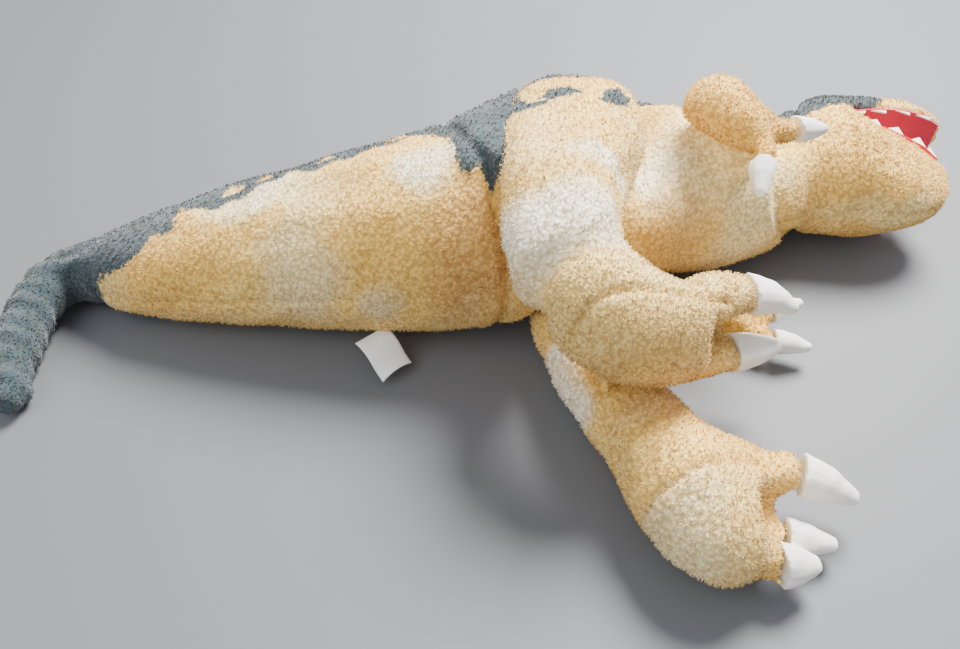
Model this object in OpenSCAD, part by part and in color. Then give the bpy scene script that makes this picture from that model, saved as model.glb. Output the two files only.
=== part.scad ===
// Plush theropod dinosaur, lying on its left side.
// +X runs towards the head, +Y towards the back, +Z up. The floor is Z = 0.

/* [Fleece and fibre] */
// Thickness of the fleece covers
fleece_t = 3; // [2:0.5:4]
// Clearance between a cover and the stuffing inside it
fill_gap = 0.6; // [0.3:0.1:0.8]
// Facets around each stuffed tube
ring_sides = 20; // [16:4:28]

/* [Trunk and tail] */
// Half height of the hips as they lie
hip_half_h = 78; // [74:1:80]
// Half width of the tail where it is sewn to the hips
tail_root_half_w = 82; // [76:1:84]
// Half width of the tail tip tube
tail_tip_half_w = 20; // [16:1:22]

/* [Head] */
// Half width of the skull
skull_half_w = 58; // [52:1:60]
// Depth of the lower jaw below its rim
jaw_depth = 64; // [56:1:66]
// Rows of teeth on each side of a jaw
teeth_per_side = 5; // [3:1:6]
// Height of a lower tooth
tooth_h = 11; // [7:1:14]
// Diameter of an eye
eye_d = 13; // [9:1:15]

/* [Limbs] */
// Half width of the forearm
arm_half_w = 24; // [20:1:25]
// Half width of the foot at its widest
foot_half_w = 44; // [38:1:46]
// Half width of a toe where its claw is sewn on
toe_half_w = 15; // [12:1:16]
// Half width of a claw at its root
claw_half_w = 11; // [8:1:12]

/* [Care label] */
// Width of the care label
label_w = 28; // [20:1:32]
// Length of the care label that hangs out of the seam
label_l = 38; // [25:1:45]
// Thickness of the folded care label
label_t = 0.8; // [0.4:0.1:1.2]

/* [Hidden] */

// The box of the whole toy is centred on the origin by this shift.
centre_x = 29.6;
centre_y = -17;

// Planes that the limbs lie against where they are sewn to the trunk.
thigh_top_plane = 122;
thigh_low_plane = 50;
sew_gap = 0.5;

// A station is [x, y, z, heading, plus half width, minus half width, half height, lowest z, highest z].
free_lo = 0;

// Slope of the end faces that let two sewn tubes bend at their seam.
bend_slope = 0.12;

slate = [0.40, 0.50, 0.55];
tan_fleece = [0.86, 0.74, 0.50];
ochre = [0.80, 0.66, 0.42];
sole_beige = [0.84, 0.74, 0.56];
red_felt = [0.85, 0.12, 0.25];
pink_felt = [0.97, 0.75, 0.84];
white_plush = [0.95, 0.94, 0.90];
fibre = [0.93, 0.93, 0.93];

function blend4(a, b, c, d, t) =
    0.5 * ((2 * b) + (c - a) * t + (2 * a - 5 * b + 4 * c - d) * t * t + (3 * b - a - 3 * c + d) * t * t * t);

// Rounds a list of key stations: a smooth curve for the shape, straight steps for the limits.
function smooth(keys, steps) = let (n = len(keys)) [
    for (i = [0:n - 2], k = [0:steps - 1]) let (
        t = k / steps,
        a = keys[max(i - 1, 0)], b = keys[i], c = keys[i + 1], d = keys[min(i + 2, n - 1)]
    ) [
        for (j = [0:8]) j < 7 ? blend4(a[j], b[j], c[j], d[j], t) : b[j] + (c[j] - b[j]) * t
    ],
    keys[n - 1]
];

function shrink(size, inset) = max(size - inset, 0.4 * size);

// One point of a ring. slope pushes the rim along the heading, for an end face that can bend.
function ring_point(s, angle, inset, slope, push) = let (
    w = cos(angle) >= 0 ? shrink(s[4], inset) : shrink(s[5], inset),
    side = w * cos(angle),
    along = slope * abs(side) + push,
    up = s[2] + shrink(s[6], inset) * sin(angle)
) [
    s[0] - sin(s[3]) * side + cos(s[3]) * along,
    s[1] + cos(s[3]) * side + sin(s[3]) * along,
    min(max(up, s[7] + inset), s[8] - inset)
];

// Rings of a tube from start_angle to end_angle.
function rings(stations, sides, inset, slopes, pushes, start_angle, end_angle) =
    let (n = len(stations), whole = end_angle - start_angle == 360) [
        for (i = [0:n - 1]) [
            for (j = [0:(whole ? sides - 1 : sides)])
                ring_point(
                    stations[i],
                    start_angle + (end_angle - start_angle) * j / sides,
                    inset,
                    i == 0 ? slopes[0] : (i == n - 1 ? -slopes[1] : 0),
                    i == 0 ? pushes[0] : (i == n - 1 ? -pushes[1] : 0)
                )
        ]
    ];

function flat_list(rows) = [for (row = rows) each row];

// A closed tube, its ends capped by fans about their middles.
module solid_tube(stations, sides, inset = 0, slopes = [0, 0], pushes = [0, 0]) {
    n = len(stations);
    grid = rings(stations, sides, inset, slopes, pushes, 0, 360);
    first = stations[0];
    last = stations[n - 1];
    mid_first = [
        first[0] + cos(first[3]) * pushes[0],
        first[1] + sin(first[3]) * pushes[0],
        (max(first[7], first[2] - first[6]) + min(first[8], first[2] + first[6])) / 2
    ];
    mid_last = [
        last[0] - cos(last[3]) * pushes[1],
        last[1] - sin(last[3]) * pushes[1],
        (max(last[7], last[2] - last[6]) + min(last[8], last[2] + last[6])) / 2
    ];
    points = concat(flat_list(grid), [mid_first, mid_last]);
    faces = concat(
        [for (i = [0:n - 2], j = [0:sides - 1]) let (k = (j + 1) % sides)
            [i * sides + j, (i + 1) * sides + j, i * sides + k]],
        [for (i = [0:n - 2], j = [0:sides - 1]) let (k = (j + 1) % sides)
            [i * sides + k, (i + 1) * sides + j, (i + 1) * sides + k]],
        [for (j = [0:sides - 1]) [n * sides, j, (j + 1) % sides]],
        [for (j = [0:sides - 1]) [n * sides + 1, (n - 1) * sides + (j + 1) % sides, (n - 1) * sides + j]]
    );
    polyhedron(points = points, faces = faces, convexity = 6);
}

// Part of a tube's wall, from start_angle to end_angle, as a sheet of fleece with closed edges.
module wall_panel(stations, sides, wall, start_angle, end_angle, slopes = [0, 0], tucks = [0, 0]) {
    n = len(stations);
    m = sides + 1;
    outer = rings(stations, sides, 0, slopes, [0, 0], start_angle, end_angle);
    inner = rings(stations, sides, wall, slopes, tucks, start_angle, end_angle);
    points = concat(flat_list(outer), flat_list(inner));
    off = n * m;
    faces = concat(
        [for (i = [0:n - 2], j = [0:sides - 1]) each [
            [i * m + j, (i + 1) * m + j, i * m + j + 1],
            [i * m + j + 1, (i + 1) * m + j, (i + 1) * m + j + 1],
            [off + i * m + j, off + i * m + j + 1, off + (i + 1) * m + j],
            [off + i * m + j + 1, off + (i + 1) * m + j + 1, off + (i + 1) * m + j]
        ]],
        [for (i = [0:n - 2]) each [
            [i * m, off + i * m, (i + 1) * m],
            [(i + 1) * m, off + i * m, off + (i + 1) * m],
            [i * m + sides, (i + 1) * m + sides, off + i * m + sides],
            [(i + 1) * m + sides, off + (i + 1) * m + sides, off + i * m + sides]
        ]],
        [for (j = [0:sides - 1]) each [
            [j, j + 1, off + j],
            [j + 1, off + j + 1, off + j],
            [(n - 1) * m + j, off + (n - 1) * m + j, (n - 1) * m + j + 1],
            [(n - 1) * m + j + 1, off + (n - 1) * m + j, off + (n - 1) * m + j + 1]
        ]]
    );
    polyhedron(points = points, faces = faces, convexity = 8);
}

// A whole sleeve: a wall that goes all the way round.
module sleeve(stations, sides, wall, slopes = [0, 0], tucks = [0, 0]) {
    n = len(stations);
    outer = rings(stations, sides, 0, slopes, [0, 0], 0, 360);
    inner = rings(stations, sides, wall, slopes, tucks, 0, 360);
    points = concat(flat_list(outer), flat_list(inner));
    off = n * sides;
    faces = concat(
        [for (i = [0:n - 2], j = [0:sides - 1]) let (k = (j + 1) % sides) each [
            [i * sides + j, (i + 1) * sides + j, i * sides + k],
            [i * sides + k, (i + 1) * sides + j, (i + 1) * sides + k],
            [off + i * sides + j, off + i * sides + k, off + (i + 1) * sides + j],
            [off + i * sides + k, off + (i + 1) * sides + k, off + (i + 1) * sides + j]
        ]],
        [for (j = [0:sides - 1]) let (k = (j + 1) % sides) each [
            [j, k, off + j],
            [k, off + k, off + j],
            [(n - 1) * sides + j, off + (n - 1) * sides + j, (n - 1) * sides + k],
            [(n - 1) * sides + k, off + (n - 1) * sides + j, off + (n - 1) * sides + k]
        ]]
    );
    polyhedron(points = points, faces = faces, convexity = 8);
}

// Stuffing that fills a cover made from the same stations.
module stuffing(stations, sides, slopes = [0, 0], tucks = [0, 0]) {
    solid_tube(stations, sides, fleece_t + fill_gap, slopes, [
        for (tuck = tucks) tuck > 0 ? tuck + fill_gap : 0
    ]);
}

module placed() {
    translate([-centre_x, -centre_y, 0]) children();
}

// Trunk: from the tail seam, over the hips, to the neck seam.
trunk_path = concat([[-7, 28, 78, 22, 86, 82, 74, free_lo, 158]], smooth([
    [8, 34, 81, 22, 95, 86, 76, 25, thigh_top_plane],
    [22, 40, 84, 21, 104, 88, hip_half_h, thigh_low_plane, thigh_top_plane],
    [60, 52, 84, 20, 96, 88, hip_half_h, thigh_low_plane, thigh_top_plane],
    [104, 68, 82, 20, 82, 82, 76, thigh_low_plane, thigh_top_plane],
    [126, 77, 78, 18, 78, 78, 74, 36, 126],
    [150, 86, 70, 18, 72, 75, 71, 0, 143],
    [190, 98, 64, 16, 64, 72, 67, 0, 160],
    [226, 110, 60, 18, 57, 64, 62, 0, 160],
    [254, 119, 60, 18, 50, 52, 54, 0, 160]
], 2));
trunk_slopes = [bend_slope, bend_slope];

// Tail: from its seam on the hips to the seam of the tip tube.
tail_path = smooth([
    [-10, 27, 78, 22, tail_root_half_w + 2, tail_root_half_w - 2, 74, 0, 160],
    [-42, 26, 74, 12, 80, 79, 75, 0, 160],
    [-94, 28, 66, 2, 74, 74, 69, 0, 160],
    [-142, 29, 59, 0, 67, 68, 62, 0, 160],
    [-190, 29, 52, -2, 59, 61, 55, 0, 160],
    [-238, 29, 43, -4, 49, 51, 46, 0, 160],
    [-276, 32, 36, -8, 40, 42, 38, 0, 160],
    [-304, 37, 31, -12, 30, 33, 31, 0, 160]
], 2);
tail_slopes = [-bend_slope, bend_slope];

// Tip tube: curls from the end of the tail round towards the belly side.
tip_path = smooth([
    [-308, 38, 30, 170, 29, 26, 29, 0, 80],
    [-326, 38, 26, 184, 26, 23, 26, 0, 80],
    [-345, 22, 24, 236, 24, 22, 24, 0, 80],
    [-352, -12, 22, 262, 22, tail_tip_half_w + 1, 22, 0, 80],
    [-350, -46, 20, 274, tail_tip_half_w, tail_tip_half_w, 20, 0, 80],
    [-344, -78, 18, 282, tail_tip_half_w - 2, tail_tip_half_w - 2, 18, 0, 80],
    [-339, -95, 16, 286, 12, 12, 13, 0, 80],
    [-338, -99, 15, 286, 2, 2, 3, 0, 80]
], 2);

// Skull and upper jaw. The minus half width is cut short over the mouth, which makes the palate.
head_path = smooth([
    [262, 121, 60, 14, 50, 50, 52, 0, 160],
    [282, 131, 62, 4, 60, 57, 59, 0, 160],
    [290, 135, 62, 0, 60, 54, 60, 0, 160],
    [297, 139, 62, 0, skull_half_w, 22, 59, 0, 160],
    [303, 143, 62, 0, skull_half_w - 2, 3, 58, 0, 160],
    [335, 157, 60, 0, 43, 3, 53, 0, 160],
    [370, 172, 58, 0, 33, 3, 45, 0, 160],
    [402, 184, 56, 0, 24, 3, 33, 0, 160],
    [422, 191, 55, 0, 14, 3, 19, 0, 160],
    [432, 194, 55, 0, 5, 2, 6, 0, 160]
], 2);
head_slopes = [bend_slope, 0];

// Lower jaw: a pointed scoop whose flat rim faces the palate.
jaw_path = smooth([
    [304.5, 134, 61, 0, 2, jaw_depth, 60, 0, 160],
    [325, 131, 60, 0, 2, jaw_depth + 3, 56, 0, 160],
    [352, 129, 59, 0, 2, 63, 47, 0, 160],
    [380, 127, 58, 0, 2, 50, 34, 0, 160],
    [400, 126, 57, 0, 2, 29, 19, 0, 160],
    [409, 125, 57, 0, 1, 5, 4, 0, 160]
], 2);

// Arms: a round upper end against the chest, narrowing to the hand.
right_arm_path = smooth([
    [155, 84, 160, -52, 4, 4, 5, thigh_top_plane, 190],
    [160, 76, 161, -48, 22, 20, 18, 143.6, 190],
    [174, 60, 163, -40, arm_half_w + 3, arm_half_w + 1, 21, 143.6, 190],
    [191, 47, 159, -30, 21, 23, 19, 141, 190],
    [205, 40, 153, -22, 16, 19, 17, 130, 190]
], 2);
left_arm_path = smooth([
    [160, 16, 23, -44, 4, 4, 5, 1, 60],
    [165, 11, 23, -42, 17, 17, 17, 1, 60],
    [178, 0, 23, -36, 21, 20, 19, 1, 60],
    [192, -10, 22, -30, 18, 18, 17, 1, 60],
    [205, -18, 21, -26, 14, 16, 14, 1, 60]
], 2);

// Thighs: broad where they are sewn to the hips, narrowing to the ankle.
right_thigh_path = smooth([
    [84, 114, 140, -100, 8, 8, 8, thigh_top_plane + sew_gap, 190],
    [78, 98, 145, -99, 40, 50, 25, thigh_top_plane + sew_gap, 190],
    [70, 60, 149, -98, 54, 55, 33, thigh_top_plane + sew_gap, 190],
    [62, 16, 150, -97, 54, 46, 34, thigh_top_plane + sew_gap, 190],
    [56, -26, 148, -92, 46, 37, 32, thigh_top_plane + sew_gap, 190],
    [57, -58, 140, -80, 41, 38, 34, thigh_top_plane + sew_gap, 190],
    [63, -80, 128, -64, 38, 38, 36, 60, 190]
], 2);
left_thigh_path = smooth([
    [88, 96, 22, -100, 8, 8, 8, 0, thigh_low_plane - sew_gap],
    [84, 80, 23, -98, 34, 36, 22, 0, thigh_low_plane - sew_gap],
    [77, 42, 24, -98, 41, 46, 25, 0, thigh_low_plane - sew_gap],
    [73, 0, 24, -95, 43, 41, 25, 0, thigh_low_plane - sew_gap],
    [77, -40, 26, -86, 45, 39, 26, 0, thigh_low_plane - sew_gap],
    [86, -72, 28, -74, 43, 40, 28, 0, 54],
    [97, -104, 29, -64, 40, 38, 29, 0, 56],
    [110, -134, 31, -58, 40, 35, 30, 0, 58]
], 2);

// Feet: a ball that ends in a flat face where the toes start.
right_foot_path = smooth([
    [65.5, -84, 126, -58, 38, 38, 36, 20, 190],
    [77, -96, 117, -42, 41, 42, 41, 74, 190],
    [98, -102, 107, -16, foot_half_w - 2, foot_half_w - 4, 43, 70, 190],
    [120, -101, 100, 2, 38, 36, 43, 66, 190],
    [138, -98, 95, 10, 30, 28, 41, 20, 190]
], 2);
left_foot_path = smooth([
    [112.5, -138, 32, -56, 40, 34, 31, 0, 62],
    [120, -160, 38, -50, 42, 42, 37, 0, 84],
    [132, -184, 39, -32, 47, foot_half_w + 2, 39, 0, 84],
    [150, -194, 37, -10, 48, 48.8, 37, 0, 84],
    [164, -194, 34, 0, 44, 42, 33, 0, 84]
], 2);
foot_slopes = [bend_slope, 0];

// A tapered finger, toe or claw from a to b with a bend through m.
function digit_path(a, m, b, heading, w0, w1, h0, h1) = smooth([
    [a[0], a[1], a[2], heading[0], w0, w0, h0, 0, 300],
    [m[0], m[1], m[2], heading[1], (w0 + w1) / 2, (w0 + w1) / 2, (h0 + h1) / 2, 0, 300],
    [b[0], b[1], b[2], heading[2], w1, w1, h1, 0, 300]
], 2);
digit_sides = 14;

// Claws end in a blunt point.
claw_end = 0.35;
claw_gap = 0.3;

module digit(a, m, b, heading, w0, w1, h0 = 0, h1 = 0) {
    solid_tube(digit_path(a, m, b, heading, w0, w1, h0 == 0 ? w0 : h0, h1 == 0 ? w1 : h1), digit_sides);
}

// A claw sewn to the end of a digit at point a, with a length and a heading, its point dipping by drop.
module claw(a, heading, length, drop, width) {
    far = [a[0] + length * cos(heading), a[1] + length * sin(heading), a[2] - drop];
    mid = [
        a[0] + 0.5 * length * cos(heading), a[1] + 0.5 * length * sin(heading), a[2] - 0.35 * drop
    ];
    start = [a[0] + claw_gap * cos(heading), a[1] + claw_gap * sin(heading), a[2]];
    solid_tube(smooth([
        [start[0], start[1], start[2], heading, width, width, width, 0, 300],
        [mid[0], mid[1], mid[2], heading, 0.8 * width, 0.8 * width, 0.8 * width, 0, 300],
        [far[0], far[1], far[2], heading, claw_end * width, claw_end * width, claw_end * width, 0, 300]
    ], 2), digit_sides);
}

module half_cover(path, from_angle, slopes, tucks) {
    wall_panel(path, ring_sides / 2, fleece_t, from_angle, from_angle + 180, slopes, tucks);
}

tip_tuck = [0, fleece_t];

module trunk_right_cover() {
    color(tan_fleece) placed() half_cover(trunk_path, 0, trunk_slopes, [0, 0]);
}

module trunk_left_cover() {
    color(slate) placed() half_cover(trunk_path, 180, trunk_slopes, [0, 0]);
}

module trunk_stuffing() {
    color(fibre) placed() stuffing(trunk_path, ring_sides, trunk_slopes);
}

module tail_right_cover() {
    color(tan_fleece) placed() half_cover(tail_turned, 0, tail_ends, [0, 0]);
}

module tail_left_cover() {
    color(slate) placed() half_cover(tail_turned, 180, tail_ends, [0, 0]);
}

module tail_stuffing() {
    color(fibre) placed() stuffing(tail_turned, ring_sides, tail_ends);
}

// The tail runs towards -X, so its list is turned round to keep every heading near +X.
tail_turned = [for (i = [len(tail_path) - 1:-1:0]) tail_path[i]];
tail_ends = [bend_slope, bend_slope];

// The label is a folded ribbon that droops from the seam to the floor.
label_root = [-84, -33, 23];
label_sag = [[0, 0], [0.3, -7], [0.6, -13], [0.85, -16.5], [1, -17]];
label_heading = -50;

module care_label() {
    run = [cos(label_heading), sin(label_heading)];
    side = [-sin(label_heading), cos(label_heading)];
    n = len(label_sag);
    points = [
        for (p = label_sag, s = [-1, 1], lift = [0, 1]) [
            label_root[0] + run[0] * p[0] * label_l + side[0] * s * label_w / 2,
            label_root[1] + run[1] * p[0] * label_l + side[1] * s * label_w / 2,
            label_root[2] + p[1] + lift * label_t
        ]
    ];
    faces = concat(
        [for (i = [0:n - 2]) let (a = 4 * i, b = 4 * i + 4) each [
            [a, a + 2, b], [a + 2, b + 2, b],
            [a + 1, b + 1, a + 3], [a + 3, b + 1, b + 3],
            [a, b, a + 1], [a + 1, b, b + 1],
            [a + 2, a + 3, b + 2], [a + 3, b + 3, b + 2]
        ]],
        [[0, 1, 2], [2, 1, 3]],
        [[4 * n - 4, 4 * n - 2, 4 * n - 3], [4 * n - 2, 4 * n - 1, 4 * n - 3]]
    );
    color(white_plush) placed() polyhedron(points = points, faces = faces);
}

module tail_tip_cover() {
    color(slate) placed() sleeve(tip_path, 16, fleece_t, [bend_slope, 0], tip_tuck);
}

module tail_tip_stuffing() {
    color(fibre) placed() stuffing(tip_path, 16, [bend_slope, 0], tip_tuck);
}

module head_right_cover() {
    color(slate) placed() half_cover(head_path, 0, head_slopes, tip_tuck);
}

module head_left_cover() {
    color(slate) placed() half_cover(head_path, 180, head_slopes, tip_tuck);
}

module head_stuffing() {
    color(fibre) placed() stuffing(head_path, ring_sides, head_slopes, tip_tuck);
}

// Felt lies on a jaw's flat face. Each row is [x, y of the face, middle z, half width].
felt_t = 1.2;
felt_gap = 0.4;
palate_rows = [
    [308, 141.6, 62, 50], [335, 153.4, 60, 47], [370, 168.4, 58, 39], [402, 180.4, 56, 28],
    [420, 187, 55, 17]
];
floor_rows = [
    [310, 134.9, 61, 50], [325, 133.6, 60, 46], [352, 131.6, 59, 38], [380, 129.6, 58, 26], [396, 128.6, 57, 15]
];

module felt_sheet(rows, facing) {
    n = len(rows);
    points = [
        for (r = rows, s = [-1, 1], lift = [felt_gap, felt_gap + felt_t])
            [r[0], r[1] + facing * lift, r[2] + s * r[3]]
    ];
    quads = concat(
        [for (i = [0:n - 2]) let (a = 4 * i, b = 4 * i + 4) each [
            [a, b, b + 2, a + 2],
            [a + 1, a + 3, b + 3, b + 1],
            [a, a + 1, b + 1, b],
            [a + 2, b + 2, b + 3, a + 3]
        ]],
        [[0, 2, 3, 1]],
        [[4 * n - 4, 4 * n - 3, 4 * n - 1, 4 * n - 2]]
    );
    tris = [for (q = quads) each [[q[0], q[1], q[2]], [q[0], q[2], q[3]]]];
    polyhedron(points = points, faces = facing > 0 ? [for (t = tris) [t[0], t[2], t[1]]] : tris);
}

module palate() {
    color(red_felt) placed() felt_sheet(palate_rows, -1);
}

module mouth_floor() {
    color(red_felt) placed() felt_sheet(floor_rows, 1);
}

// Teeth stand in two rows along the edges of a felt sheet.
tooth_t = 1.2;
module tooth_row(rows, facing, height) {
    n = len(rows);
    first = rows[0];
    last = rows[n - 1];
    for (side = [-1, 1], k = [0:teeth_per_side - 1]) {
        t = (k + 0.5) / teeth_per_side * (n - 1);
        i = min(floor(t), n - 2);
        r = rows[i] + (rows[i + 1] - rows[i]) * (t - i);
        d = rows[i + 1] - rows[i];
        edge = [norm([d[0], d[1]]), d[2] + d[3] * side];
        grow = 0.4 + 0.6 * t / (n - 1);
        base = 0.4 * norm([last[0] - first[0], last[3] - first[3]]) / teeth_per_side;
        translate([r[0], r[1] + facing * (felt_gap + felt_t + felt_gap), r[2] + side * (r[3] - tooth_t)])
            rotate([0, 0, atan2(d[1], d[0])])
                rotate([0, -atan2(edge[1], edge[0]), 0])
                    linear_extrude(tooth_t, center = true)
                        polygon([[-base, 0], [base, 0], [0.6 * base, facing * height * grow]]);
    }
}

module upper_teeth() {
    color(white_plush) placed() tooth_row(palate_rows, -1, 0.6 * tooth_h);
}

module lower_teeth() {
    color(white_plush) placed() tooth_row(floor_rows, 1, tooth_h);
}

// A tongue lies on the mouth floor, inside the row of teeth.
tongue_gap = felt_gap + felt_t + 0.4;
module tongue() {
    rows = [
        for (k = [0:4]) let (r = floor_rows[k])
            [r[0] + 1, r[1] + tongue_gap + 1.6, r[2], 0, 1.5, 1.5, 0.62 * r[3], 0, 160]
    ];
    color(pink_felt) placed() solid_tube(rows, digit_sides);
}

// Eyes are domed discs on the sides of the skull, each with its back flat on the fleece.
eye_x = 322;
eye_y = 188;
eye_right_z = 93;
eye_left_z = 27;
eye_tilt = 57;
eye_rise = 0.35;

module eye_dome() {
    rotate_extrude($fn = 40)
        intersection() {
            translate([0, -eye_d * (0.5 - eye_rise) - eye_d * 0.12]) circle(d = eye_d * 1.25, $fn = 48);
            square([eye_d, eye_d]);
        }
}

module right_eye() {
    color("black") placed() translate([eye_x, eye_y, eye_right_z]) rotate([-eye_tilt, 0, 0]) eye_dome();
}

module left_eye() {
    color("black") placed()
        translate([eye_x, eye_y, eye_left_z]) rotate([180 + eye_tilt, 0, 0]) eye_dome();
}

module jaw_right_cover() {
    color(ochre) placed() half_cover(jaw_path, 0, [0, 0], tip_tuck);
}

module jaw_left_cover() {
    color(ochre) placed() half_cover(jaw_path, 180, [0, 0], tip_tuck);
}

module jaw_stuffing() {
    color(fibre) placed() stuffing(jaw_path, ring_sides, [0, 0], [0, fleece_t]);
}

arm_sides = 16;

module arm_cover(path) {
    color(ochre) placed() sleeve(path, arm_sides, fleece_t, [0, 0], [fleece_t, 0]);
}

module arm_stuffing(path) {
    color(fibre) placed() stuffing(path, arm_sides, [0, 0], [fleece_t, 0]);
}

module right_arm_cover() {
    arm_cover(right_arm_path);
}

module right_arm_stuffing() {
    arm_stuffing(right_arm_path);
}

module left_arm_cover() {
    arm_cover(left_arm_path);
}

module left_arm_stuffing() {
    arm_stuffing(left_arm_path);
}

module right_fingers() {
    color(ochre) placed() {
        digit([209, 47, 153], [219, 50, 150], [230, 56, 147], [-22, 12, 22], 12, claw_half_w);
        digit([202, 27.5, 153], [198, 18, 152], [194, 8, 150], [-22, -84, -104], 10, claw_half_w - 1);
    }
}

module right_hand_claws() {
    color(white_plush) placed() {
        claw([230, 56, 147], 22, 30, 6, claw_half_w - 0.5);
        claw([194, 8, 150], -104, 24, 8, claw_half_w - 1);
    }
}

module left_fingers() {
    color(ochre) placed() {
        digit([209.5, -12, 21], [219, -12, 22], [229, -8, 23], [-26, 6, 16], 9, claw_half_w - 1);
        digit([202.5, -26.5, 21], [213, -32, 20], [225, -36, 19], [-26, -18, -8], 8, claw_half_w - 1);
    }
}

module left_hand_claws() {
    color(white_plush) placed() {
        claw([229, -8, 23], 16, 27, -3, claw_half_w - 1);
        claw([225, -36, 19], -8, 29, 3, claw_half_w - 1);
    }
}

module right_thigh_cover() {
    color(tan_fleece) placed() sleeve(right_thigh_path, ring_sides, fleece_t, [0, bend_slope], [fleece_t, 0]);
}

module right_thigh_stuffing() {
    color(fibre) placed() stuffing(right_thigh_path, ring_sides, [0, bend_slope], [fleece_t, 0]);
}

module left_thigh_cover() {
    color(tan_fleece) placed() sleeve(left_thigh_path, ring_sides, fleece_t, [0, bend_slope], [fleece_t, 0]);
}

module left_thigh_stuffing() {
    color(fibre) placed() stuffing(left_thigh_path, ring_sides, [0, bend_slope], [fleece_t, 0]);
}

// The sole is the side of the foot that faces away from the back.
module foot_half(path, from_angle) {
    wall_panel(path, ring_sides / 2, fleece_t, from_angle, from_angle + 180, foot_slopes, [0, 0]);
}

module right_foot_upper() {
    color(ochre) placed() foot_half(right_foot_path, -70);
}

module right_foot_sole() {
    color(sole_beige) placed() foot_half(right_foot_path, 110);
}

module right_foot_stuffing() {
    color(fibre) placed() stuffing(right_foot_path, ring_sides, foot_slopes);
}

module left_foot_upper() {
    color(ochre) placed() foot_half(left_foot_path, 230);
}

module left_foot_sole() {
    color(sole_beige) placed() foot_half(left_foot_path, 50);
}

module left_foot_stuffing() {
    color(fibre) placed() stuffing(left_foot_path, ring_sides, foot_slopes);
}

module right_toes() {
    color(ochre) placed() {
        digit([140.5, -88, 116], [158, -80, 111], [176, -72, 104], [10, 22, 22], 21, toe_half_w);
        digit([139.5, -78, 90], [154, -70, 87], [168, -64, 84], [10, 24, 26], 7, toe_half_w - 6);
        digit([143, -100, 73], [158, -94, 68], [171, -86, 61], [14, 24, 24], 17, toe_half_w);
    }
}

module right_foot_claws() {
    color(white_plush) placed() {
        claw([176, -72, 104], 12, 40, 20, toe_half_w - 0.5);
        claw([168, -64, 84], 20, 26, 8, toe_half_w - 6.5);
        claw([171, -86, 61], 16, 38, 3, toe_half_w - 0.5);
    }
}

module left_toes() {
    color(ochre) placed() {
        digit([168, -175, 40], [184, -170, 41], [203, -168, 38], [6, 8, -2], 20, toe_half_w);
        digit([166, -197, 16], [178, -199, 17], [190, -200, 18], [0, -4, -6], 11, toe_half_w - 3);
        digit([167.5, -217, 30], [171, -221, 28], [178, -223, 26], [-8, -18, -8], 15, toe_half_w);
    }
}

module left_foot_claws() {
    color(white_plush) placed() {
        claw([203, -168, 38], -16, 38, 12, toe_half_w - 0.5);
        claw([190, -200, 18], -8, 32, 3, toe_half_w - 3);
        claw([178, -223, 26], 4, 26, 4, toe_half_w - 1);
    }
}

trunk_right_cover();
trunk_left_cover();
trunk_stuffing();
tail_right_cover();
tail_left_cover();
tail_stuffing();
care_label();
tail_tip_cover();
tail_tip_stuffing();
head_right_cover();
head_left_cover();
head_stuffing();
palate();
upper_teeth();
right_eye();
left_eye();
jaw_right_cover();
jaw_left_cover();
jaw_stuffing();
mouth_floor();
tongue();
lower_teeth();
right_arm_cover();
right_arm_stuffing();
right_fingers();
right_hand_claws();
left_arm_cover();
left_arm_stuffing();
left_fingers();
left_hand_claws();
right_thigh_cover();
right_thigh_stuffing();
right_foot_upper();
right_foot_sole();
right_foot_stuffing();
right_toes();
right_foot_claws();
left_thigh_cover();
left_thigh_stuffing();
left_foot_upper();
left_foot_sole();
left_foot_stuffing();
left_toes();
left_foot_claws();
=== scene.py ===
"""The stuffed dinosaur lying on its side: fleece skins over the frame's stuffed bodies,
felt mouth, teeth and tongue, plush claws, glossy eyes and a satin care label."""
import math

import bmesh
import bpy
import numpy as np
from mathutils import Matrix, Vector
from mathutils.kdtree import KDTree


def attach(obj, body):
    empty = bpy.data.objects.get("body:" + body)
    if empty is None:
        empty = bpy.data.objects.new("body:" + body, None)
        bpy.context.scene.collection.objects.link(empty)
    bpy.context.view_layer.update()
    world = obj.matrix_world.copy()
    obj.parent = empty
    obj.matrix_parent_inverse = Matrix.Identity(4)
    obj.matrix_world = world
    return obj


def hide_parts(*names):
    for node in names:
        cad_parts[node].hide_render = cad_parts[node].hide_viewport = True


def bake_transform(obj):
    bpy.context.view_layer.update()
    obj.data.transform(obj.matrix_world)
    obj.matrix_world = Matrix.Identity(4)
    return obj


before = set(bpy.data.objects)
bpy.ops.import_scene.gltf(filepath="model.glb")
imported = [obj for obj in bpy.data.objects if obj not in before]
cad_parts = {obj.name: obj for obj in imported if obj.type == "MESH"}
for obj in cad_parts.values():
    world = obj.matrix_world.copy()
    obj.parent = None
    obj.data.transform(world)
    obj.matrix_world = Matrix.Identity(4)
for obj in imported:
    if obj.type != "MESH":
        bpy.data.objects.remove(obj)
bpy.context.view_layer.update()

rng = np.random.default_rng(41)


# ---------------------------------------------------------------- meshes as arrays
# Where the frame's origin lies in the toy's own layout, mm.
ORIGIN_X, ORIGIN_Y = 29.6, -17


def at(x, y, z):
    """A point of the toy's own layout, in mm, as a point of the frame, in metres."""
    return np.array([(x - ORIGIN_X) / 1000, (y - ORIGIN_Y) / 1000, z / 1000])


def heading_way(degrees):
    """The level direction with a heading, as a unit vector."""
    a = math.radians(degrees)
    return np.array([math.cos(a), math.sin(a), 0])


def node_arrays(*names):
    """Vertices and polygons of CAD nodes, joined."""
    verts, faces, base = [], [], 0
    for name in names:
        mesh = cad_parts[name].data
        co = np.array([v.co for v in mesh.vertices], float).reshape(-1, 3)
        verts.append(co)
        faces += [[i + base for i in p.vertices] for p in mesh.polygons]
        base += len(co)
    return np.vstack(verts), faces


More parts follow.
